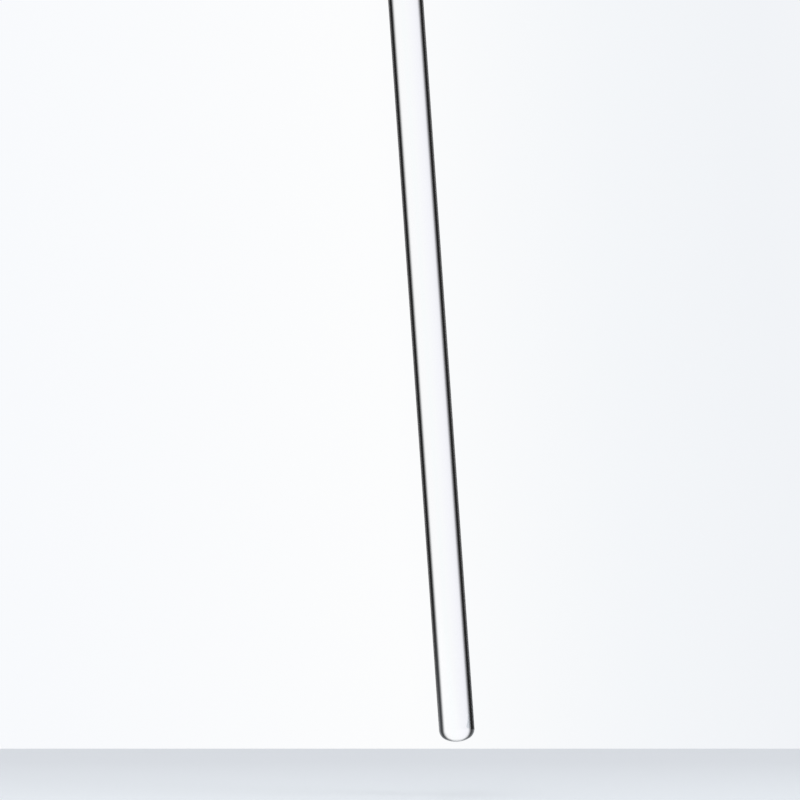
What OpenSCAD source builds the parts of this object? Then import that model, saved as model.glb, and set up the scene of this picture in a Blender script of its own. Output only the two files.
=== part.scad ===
// Glass stirring rod: one straight, solid, drawn glass rod with both ends fire-polished.
// The origin is the middle of the lower tip, +Z runs up the rod. All sizes in millimetres.

/* [Rod] */
// Outside diameter of the rod
rod_d = 8; // [5:0.5:11]
// Overall length of the rod, tip to tip
rod_length = 250; // [100:5:400]

/* [Lower end] */
// Radius to which the flame rounded the rim of the lower end
lower_rim_r = 2.4; // [0.6:0.1:3.4]
// Radius of the gentle crown across the lower end
lower_crown_r = 5.8; // [4.6:0.1:40]

/* [Upper end] */
// Radius to which the flame rounded the rim of the upper end
upper_rim_r = 2.4; // [0.6:0.1:3.4]
// Radius of the gentle crown across the upper end
upper_crown_r = 5.8; // [4.6:0.1:40]

/* [Hidden] */
$fn = 96;
rod_r = rod_d / 2;

// How tall an end is: from its tip to where its rounded rim meets the straight side
function end_height(rim_r, crown_r) =
    crown_r - sqrt(pow(crown_r - rim_r, 2) - pow(rod_r - rim_r, 2));

// One half of the rod's outline, tip down at the origin, from the axis out to the side.
// The crown and the rim are arcs that share a tangent where they meet, on the line through
// both their centres, so the crown is kept on one side of that line and the rim on the other.
module half_outline(rim_r, crown_r) {
    height = end_height(rim_r, crown_r);
    crown_centre = [0, crown_r];
    rim_centre = [rod_r - rim_r, height];
    reach = ceil(crown_r / (crown_r - rim_r)) + 1;
    past_arcs = crown_centre + reach * (rim_centre - crown_centre);
    intersection() {
        translate(crown_centre) circle(r = crown_r);
        polygon([crown_centre, [0, -reach * crown_r], past_arcs]);
    }
    intersection() {
        translate(rim_centre) circle(r = rim_r);
        polygon([crown_centre, past_arcs, [past_arcs[0] + rod_d, crown_r]]);
        translate([0, height]) mirror([0, 1]) square(rod_d);
    }
    // The straight side reaches a little past the middle, so that the two halves overlap
    translate([0, height]) square([rod_r, rod_length / 2]);
}

module stirring_rod() {
    color("azure", 0.4) rotate_extrude() {
        half_outline(lower_rim_r, lower_crown_r);
        translate([0, rod_length]) mirror([0, 1]) half_outline(upper_rim_r, upper_crown_r);
    }
}

stirring_rod();
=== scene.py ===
from math import asin, cos, pi, radians, sin, sqrt

import bmesh
import bpy
from mathutils import Matrix, Vector


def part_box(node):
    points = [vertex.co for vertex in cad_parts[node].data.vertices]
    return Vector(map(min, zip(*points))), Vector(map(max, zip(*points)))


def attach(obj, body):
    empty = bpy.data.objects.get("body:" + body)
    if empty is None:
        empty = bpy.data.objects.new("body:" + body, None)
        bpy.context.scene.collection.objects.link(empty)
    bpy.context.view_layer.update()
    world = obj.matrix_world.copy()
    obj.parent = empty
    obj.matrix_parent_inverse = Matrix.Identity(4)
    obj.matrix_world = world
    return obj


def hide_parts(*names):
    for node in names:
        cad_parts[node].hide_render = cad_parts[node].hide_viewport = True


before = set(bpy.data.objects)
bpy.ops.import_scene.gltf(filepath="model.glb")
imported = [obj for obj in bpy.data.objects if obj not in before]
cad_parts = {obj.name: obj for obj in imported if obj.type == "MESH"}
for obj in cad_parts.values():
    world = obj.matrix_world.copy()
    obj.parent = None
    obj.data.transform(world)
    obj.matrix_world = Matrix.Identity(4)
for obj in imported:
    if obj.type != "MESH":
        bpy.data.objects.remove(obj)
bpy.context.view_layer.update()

# A clear glass stirring rod with both ends rounded in the flame, over a plain pale floor.
# Sizes are in metres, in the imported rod's own frame: the lower tip at the origin, +Z up the rod.
closeEnough = 1e-6  # points nearer together than this count as in one place


class Wire:
    # an output of a node, so that shader maths reads as plain sums
    def __init__(self, graph, socket):
        self.graph = graph
        self.socket = socket

    def __add__(self, other):
        return self.graph.maths("ADD", self, other)

    def __radd__(self, other):
        return self.graph.maths("ADD", other, self)

    def __sub__(self, other):
        return self.graph.maths("SUBTRACT", self, other)

    def __rsub__(self, other):
        return self.graph.maths("SUBTRACT", other, self)

    def __mul__(self, other):
        return self.graph.maths("MULTIPLY", self, other)

    def __rmul__(self, other):
        return self.graph.maths("MULTIPLY", other, self)

    def __pow__(self, other):
        return self.graph.maths("POWER", self, other)

    def __rpow__(self, other):
        return self.graph.maths("POWER", other, self)

    def __getitem__(self, name):
        return Wire(self.graph, self.socket.node.outputs[name])


class Graph:
    # the node tree of a material or a world
    def __init__(self, owner):
        owner.use_nodes = True
        self.tree = owner.node_tree
        self.tree.nodes.clear()

    def add(self, kind, settings={}, inputs={}):
        # settings go in first, because some of them change which sockets there are
        node = self.tree.nodes.new("ShaderNode" + kind)
        for name, value in settings.items():
            if name == "stops":
                self.fillRamp(node.color_ramp, value)
            else:
                setattr(node, name, value)
        for name, value in inputs.items():
            if isinstance(value, Wire):
                self.tree.links.new(value.socket, node.inputs[name])
            else:
                node.inputs[name].default_value = value
        return Wire(self, node.outputs[0]) if node.outputs else node

    def fillRamp(self, ramp, stops):
        # each stop is its place and either a grey or three parts of a colour
        while len(ramp.elements) < len(stops):
            ramp.elements.new(1.0)
        for element, (place, tone) in zip(ramp.elements, stops):
            element.position = place
            element.color = (*tone, 1) if isinstance(tone, tuple) else (tone, tone, tone, 1)

    def maths(self, operation, first, second):
        return self.add("Math", {"operation": operation}, {0: first, 1: second})

    def between(self, value, none, full, slope="LINEAR"):
        # 0 at none and before it, 1 at full and past it, and full may be the lower of the two
        limits = {"Value": value, "From Min": none, "From Max": full}
        return self.add("MapRange", {"interpolation_type": slope}, limits)

    def slant(self, normal):
        # 0 where the surface faces the eye, 1 where it is edge on
        return self.add("LayerWeight", {}, {"Blend": 0.5, "Normal": normal})["Facing"]

    def mixColours(self, factor, first, second, how="MIX"):
        mixed = self.add("Mix", {"data_type": "RGBA", "blend_type": how}, {0: factor, 6: first, 7: second})
        return Wire(self, mixed.socket.node.outputs[2])


def colour(red, green, blue):
    return (red, green, blue, 1)


rod = {
    "facets": 240,  # faces round the rod, fine enough for smooth edge lines close up
    "rimRadius": 0.0024,  # the rim of each end, rounded by the flame
    "crownRadius": 0.0058,  # the gentle crown across each end
    "rimSteps": 18,  # rings of faces over the rim
    "crownSteps": 12,  # and over the crown
    "ringSpacing": 0.0105,  # between the rings of faces along the side
    "firstRing": 0.0003,  # a ring this near each rounded end keeps the side's shading straight
}


def endOutline(rodRadius):
    # radius and height above the tip of each ring of an end, from the side in to the tip
    rimCentre = rodRadius - rod["rimRadius"]
    centresApart = rod["crownRadius"] - rod["rimRadius"]
    endHeight = rod["crownRadius"] - sqrt(centresApart**2 - rimCentre**2)
    meeting = asin(rimCentre / centresApart)  # where rim meets crown, as an angle from the axis
    rings = []
    for step in range(1, rod["rimSteps"] + 1):
        turn = (pi / 2 - meeting) * step / rod["rimSteps"]
        rings.append((rimCentre + rod["rimRadius"] * cos(turn), endHeight - rod["rimRadius"] * sin(turn)))
    for step in range(1, rod["crownSteps"]):
        turn = meeting * (1 - step / rod["crownSteps"])
        rings.append((rod["crownRadius"] * sin(turn), rod["crownRadius"] * (1 - cos(turn))))
    return endHeight, rings


def selectWhere(piece, chosen):
    # the points of a piece in edit mode whose place passes the test
    bpy.ops.mesh.select_all(action="DESELECT")
    shape = bmesh.from_edit_mesh(piece.data)
    for vertex in shape.verts:
        vertex.select = chosen(vertex.co)
    shape.select_flush(True)
    bmesh.update_edit_mesh(piece.data)


def roundEnd(piece, rodRadius, tip, inward, endHeight, rings):
    # grows one end ring by ring from the open side, then closes it in the middle of the tip
    radiusNow, heightNow = rodRadius, tip + inward * endHeight
    selectWhere(piece, lambda place: abs(place.z - heightNow) < closeEnough)
    for radius, height in rings:
        rise = tip + inward * height - heightNow
        bpy.ops.mesh.extrude_region_move(TRANSFORM_OT_translate={"value": (0, 0, rise)})
        heightNow += rise
        shrink = radius / radiusNow
        bpy.ops.transform.resize(value=(shrink, shrink, 1), center_override=(0, 0, heightNow))
        radiusNow = radius
    bpy.ops.mesh.extrude_region_move(TRANSFORM_OT_translate={"value": (0, 0, tip - heightNow)})
    bpy.ops.mesh.merge(type="CENTER")


def makeRod():
    low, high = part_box("stirring_rod")
    rodRadius = high[0]
    endHeight, rings = endOutline(rodRadius)
    sideLow, sideHigh = low[2] + endHeight, high[2] - endHeight
    bpy.ops.object.select_all(action="DESELECT")
    bpy.ops.mesh.primitive_cylinder_add(
        vertices=rod["facets"],
        radius=rodRadius,
        depth=sideHigh - sideLow,
        end_fill_type="NOTHING",
        location=(0, 0, (sideLow + sideHigh) / 2),
    )
    piece = bpy.context.active_object
    piece.name = "glassRod"
    bpy.ops.object.transform_apply(location=True, rotation=True, scale=True)
    bpy.ops.object.mode_set(mode="EDIT")
    first, last = sideLow + rod["firstRing"], sideHigh - rod["firstRing"]
    bays = round((last - first) / rod["ringSpacing"])
    for bay in range(bays + 1):
        bpy.ops.mesh.select_all(action="SELECT")
        bpy.ops.mesh.bisect(plane_co=(0, 0, first + (last - first) * bay / bays), plane_no=(0, 0, 1))
    roundEnd(piece, rodRadius, low[2], 1, endHeight, rings)
    roundEnd(piece, rodRadius, high[2], -1, endHeight, rings)
    bpy.ops.mesh.select_all(action="SELECT")
    bpy.ops.mesh.remove_doubles(threshold=closeEnough)
    bpy.ops.mesh.normals_make_consistent(inside=False)
    bpy.ops.object.mode_set(mode="OBJECT")
    bpy.ops.object.shade_smooth()
    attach(piece, "root")
    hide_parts("stirring_rod")
    return piece


glass = {
    "ior": 1.473,  # borosilicate
    "tint": (0.985, 0.99, 1.0),
    "leftAfterMetre": (0.9, 0.97, 0.94),  # about the share of each colour left after a metre of glass
    "density": 1.0,
    # Painted shade: the share of light kept at each surface is painted into the base colour as the dark
    # lines that a glass rod shows inside its edges, in place of the dark surroundings that real glass
    # bends into view there:
    # along the side by how far round it has turned from the eye ...
    "roundTheSide": [
        (0.37, 1.0),
        (0.44, 0.92),
        (0.48, 0.83),
        (0.52, 0.5),
        (0.56, 0.22),
        (0.61, 0.0),
        (0.72, 0.0),
        (0.85, 0.17),
        (1.0, 0.22),
    ],
    # ... and on the rounded ends by how much the surface slants
    "overTheEnd": [
        (0.5, 1.0),
        (0.6, 0.92),
        (0.7, 0.67),
        (0.8, 0.32),
        (0.9, 0.14),
        (1.0, 0.3),
    ],
    "edgeTurn": 1.02,  # tangent of the angle round the side at which its painted dark line begins
    "endShading": (0.0006, 0.0034),  # the painted shade of the ends is whole up to the first height from a tip and gone at the second
    "headOn": (0.28, 0.2),  # the side's painted shade goes out between these slants, nearer to head on
    "drawLinesAcross": 900,  # lines a metre across the rod, left by drawing the glass
    "drawLinesAlong": 3,
    "drawLineDetail": 2.0,
    "drawLineDepth": 0.000003,
    "polishedEnd": 0.006,  # length at each end over which the flame smoothed the lines away
    "haze": 0.006,
    "hazePatches": 60.0,  # a metre, left by handling
    "hazeDetail": 3.0,
}


def makeGlass():
    low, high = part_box("stirring_rod")
    material = bpy.data.materials.new("clearDrawnGlass")
    graph = Graph(material)
    place = graph.add("TexCoord")["Object"]
    height = graph.add("SeparateXYZ", {}, {0: place})["Z"]
    polish = graph.between(height, low[2], low[2] + glass["polishedEnd"])
    polish = polish * (1 - graph.between(height, high[2] - glass["polishedEnd"], high[2]))
    across, along = glass["drawLinesAcross"], glass["drawLinesAlong"]
    stretched = graph.add("Mapping", {}, {"Vector": place, "Scale": (across, across, along)})
    drawLines = graph.add(
        "TexNoise", {}, {"Vector": stretched, "Scale": 1.0, "Detail": glass["drawLineDetail"]}
    )
    bump = graph.add(
        "Bump",
        {},
        {"Strength": 1.0, "Distance": glass["drawLineDepth"], "Height": drawLines * polish},
    )
    slant = graph.slant(bump)
    roundway = graph.add("VectorMath", {"operation": "CROSS_PRODUCT"}, {0: (0, 0, 1), 1: place})
    offAxis = graph.add("VectorMath", {"operation": "LENGTH"}, {0: roundway})["Value"] * (1 / high[0])
    roundway = graph.add("VectorMath", {"operation": "NORMALIZE"}, {0: roundway})
    sideways = offAxis * (1 - graph.slant(roundway))
    turned = sideways - glass["edgeTurn"] * (1 - slant)  # from -1 head on to 1 at the very edge
    # painted shade: the dark lines inside the rod's edges and round its ends are painted into the base
    # colour by how each surface is turned to the eye
    side = graph.add("ValToRGB", {"stops": glass["roundTheSide"]}, {"Fac": turned * 0.5 + 0.5})
    end = graph.add("ValToRGB", {"stops": glass["overTheEnd"]}, {"Fac": slant})
    whole, gone = glass["endShading"]
    straight = graph.between(height, low[2] + whole, low[2] + gone)
    straight = straight * (1 - graph.between(height, high[2] - gone, high[2] - whole))
    shade = graph.mixColours(graph.between(slant, *glass["headOn"]), side, colour(1, 1, 1))
    shade = graph.mixColours(1 - straight, shade, end, "MULTIPLY")
    # squared, because each surface lets through the root of the base colour
    shade = graph.mixColours(1.0, shade, shade, "MULTIPLY")
    # the glass's own tint, darkened by the painted edge shade
    tint = graph.mixColours(1.0, colour(*glass["tint"]), shade, "MULTIPLY")
    haze = graph.add(
        "TexNoise",
        {},
        {"Vector": place, "Scale": glass["hazePatches"], "Detail": glass["hazeDetail"]},
    )
    surface = graph.add(
        "BsdfPrincipled",
        {},
        {
            "Base Color": tint,
            "Roughness": haze * glass["haze"],
            "IOR": glass["ior"],
            "Transmission Weight": 1.0,
            "Normal": bump,
        },
    )
    body = graph.add(
        "VolumeAbsorption",
        {},
        {"Color": colour(*glass["leftAfterMetre"]), "Density": glass["density"]},
    )
    graph.add("OutputMaterial", {}, {"Surface": surface, "Volume": body})
    return material


rodPiece = makeRod()
rodPiece.data.materials.append(makeGlass())
print("rod: drawn and both ends rounded,", len(rodPiece.data.polygons), "faces")

# the rod stands upright here, and all that is round it leans instead
stand = {
    "lean": 3.99,  # degrees that the rod leans to the left
    "tipHeight": 0.012,  # the lower tip above the floor
}
level = Matrix.Rotation(radians(stand["lean"]), 4, "Y")  # turns what is level to suit the upright rod

floorLook = {
    "reach": 1.0,  # from the middle to each side
    "backEdge": 0.181,  # the floor falls away behind this line, where a low eye sees it end
    "fallAway": 8,  # degrees
    "roundedOver": 0.02,  # on either side of the back edge
    "fade": (0.15, 0.9),  # all round, between these distances, it goes over into the white
    # painted light and shade: the floor is painted lighter at the front and darker towards the back
    "front": (0.80, 0.84, 0.885),
    "back": (0.71, 0.74, 0.785),
    "frontToBack": (-0.02, 0.12),
    "mottles": 90.0,  # a metre
    "mottleDetail": 4.0,
    "mottleDepth": 0.0002,
    "mottleStrength": 0.2,
    "roughness": (0.45, 0.1),  # the least, and how much more the mottles add
}


def makeFloor():
    bpy.ops.object.select_all(action="DESELECT")
    bpy.ops.mesh.primitive_plane_add(size=2 * floorLook["reach"])
    floor = bpy.context.active_object
    floor.name = "paleFloor"
    edge, rounded = floorLook["backEdge"], floorLook["roundedOver"]
    bpy.ops.object.mode_set(mode="EDIT")
    for row in (edge - rounded, edge, edge + rounded):  # the outer two keep the soft bend narrow
        bpy.ops.mesh.select_all(action="SELECT")
        bpy.ops.mesh.bisect(plane_co=(0, row, 0), plane_no=(0, 1, 0))
    selectWhere(floor, lambda place: place.y > edge + closeEnough)
    fall = radians(floorLook["fallAway"])
    bpy.ops.transform.rotate(value=fall, orient_axis="X", center_override=(0, edge, 0))
    bpy.ops.object.mode_set(mode="OBJECT")
    bpy.ops.object.shade_smooth()
    floor.matrix_world = level @ Matrix.Translation((0, 0, -stand["tipHeight"]))
    material = bpy.data.materials.new("paleTableTop")
    graph = Graph(material)
    place = graph.add("TexCoord")["Object"]
    parts = graph.add("SeparateXYZ", {}, {0: place})
    # painted light and shade: lighter at the front, darker towards the back
    deep = graph.between(parts["Y"], *floorLook["frontToBack"])
    tone = graph.mixColours(deep, colour(*floorLook["front"]), colour(*floorLook["back"]))
    mottle = graph.add(
        "TexNoise",
        {},
        {"Vector": place, "Scale": floorLook["mottles"], "Detail": floorLook["mottleDetail"]},
    )
    bump = graph.add(
        "Bump",
        {},
        {
            "Strength": floorLook["mottleStrength"],
            "Distance": floorLook["mottleDepth"],
            "Height": mottle,
        },
    )
    smoothest, rougher = floorLook["roughness"]
    top = graph.add(
        "BsdfPrincipled",
        {},
        {
            "Base Color": tone,
            "Roughness": smoothest + mottle * rougher,
            "Specular IOR Level": 0.0,
            "Normal": bump,
        },
    )
    outward = (parts["X"] ** 2 + parts["Y"] ** 2) ** 0.5
    gone = graph.between(outward, *floorLook["fade"], "SMOOTHSTEP")
    below = graph.add("NewGeometry")["Backfacing"]
    clear = graph.add("BsdfTransparent")
    seen = graph.add("MixShader", {}, {0: graph.maths("MAXIMUM", gone, below), 1: top, 2: clear})
    graph.add("OutputMaterial", {}, {"Surface": seen})
    floor.data.materials.append(material)


makeFloor()
print("floor: laid", stand["tipHeight"], "m under the tip")

# the white room: a tone for each sideways part of a direction, from 0 at the far left to 1 at the right
studio = {
    "skyLight": 0.62,  # what the white room gives the floor and all that isn't glass
    "mirrored": 0.2,  # how bright the room is in the glass's own reflections
    "backdrop": [  # the room itself
        (0.38, (0.965, 0.97, 0.98)),
        (0.45, (0.94, 0.955, 0.98)),
        (0.5, (0.975, 0.98, 0.985)),
        (0.53, (0.905, 0.925, 0.95)),
        (0.55, (0.88, 0.90, 0.93)),
        (0.62, (0.965, 0.97, 0.98)),
    ],
    "throughGlass": [  # the room as it shows through the glass
        (0.165, (1.0, 1.0, 1.0)),
        (0.22, (0.68, 0.68, 0.72)),
        (0.27, (0.91, 0.91, 0.95)),
        (0.34, (0.955, 0.955, 0.99)),
        (0.43, (0.975, 0.978, 1.0)),
        (0.5, (0.99, 0.995, 1.0)),
        (0.57, (0.98, 1.0, 1.0)),
        (0.65, (1.0, 1.0, 1.0)),
    ],
}

softboxes = [
    {"name": "overheadSoftbox", "place": (-0.15, -0.1, 0.9), "size": (0.9, 0.9), "power": 3.4},
    {"name": "sideSoftbox", "place": (0.6, -0.2, 0.7), "size": (0.4, 0.6), "power": 1.0},
]


def makeStudio():
    world = bpy.data.worlds.new("whiteRoom")
    bpy.context.scene.world = world
    graph = Graph(world)
    direction = graph.add("TexCoord")["Generated"]
    sideways = graph.add("SeparateXYZ", {}, {0: direction})["X"]
    along = sideways * 0.5 + 0.5
    backdrop = graph.add("ValToRGB", {"stops": studio["backdrop"]}, {"Fac": along})
    throughGlass = graph.add("ValToRGB", {"stops": studio["throughGlass"]}, {"Fac": along})
    shown = graph.add("Background", {}, {"Color": colour(1, 1, 1), "Strength": studio["skyLight"]})
    ray = graph.add("LightPath")
    for kind, tones, strength in (
        ("Is Glossy Ray", backdrop, studio["mirrored"]),
        ("Is Transmission Ray", throughGlass, 1.0),
        ("Is Camera Ray", backdrop, 1.0),
    ):
        look = graph.add("Background", {}, {"Color": tones, "Strength": strength})
        shown = graph.add("MixShader", {}, {0: ray[kind], 1: shown, 2: look})
    graph.add("OutputWorld", {}, {"Surface": shown})
    for box in softboxes:
        bpy.ops.object.light_add(type="AREA")
        lamp = bpy.context.active_object
        lamp.name = box["name"]
        lamp.data.shape = "RECTANGLE"
        lamp.data.size, lamp.data.size_y = box["size"]
        lamp.data.energy = box["power"]
        place = Vector(box["place"])
        turn = (-place).to_track_quat("-Z", "Y").to_matrix().to_4x4()
        lamp.matrix_world = level @ Matrix.Translation(place) @ turn


makeStudio()
print("studio: white room and", len(softboxes), "softboxes")

camera = {
    "lens": 172.6,
    "place": (-0.0130, -0.867, 0.0484),  # from the rod's tip, measured level and plumb
    "upward": 1.896,  # degrees that it looks up
    "sees": (0.01, 20),  # the nearest and the farthest
    "bounces": 48,  # light that runs along inside the rod is turned back more than 20 times
}


def makeCamera():
    bpy.ops.object.camera_add()
    eye = bpy.context.active_object
    eye.name = "benchCamera"
    eye.data.lens = camera["lens"]
    turn = Matrix.Rotation(radians(90 + camera["upward"]), 4, "X")
    eye.matrix_world = level @ Matrix.Translation(camera["place"]) @ turn
    eye.data.clip_start, eye.data.clip_end = camera["sees"]
    scene = bpy.context.scene
    scene.camera = eye
    scene.view_settings.view_transform = "Standard"
    scene.cycles.max_bounces = camera["bounces"]
    scene.cycles.transmission_bounces = camera["bounces"]
    scene.cycles.glossy_bounces = camera["bounces"]


makeCamera()
print("camera: set")
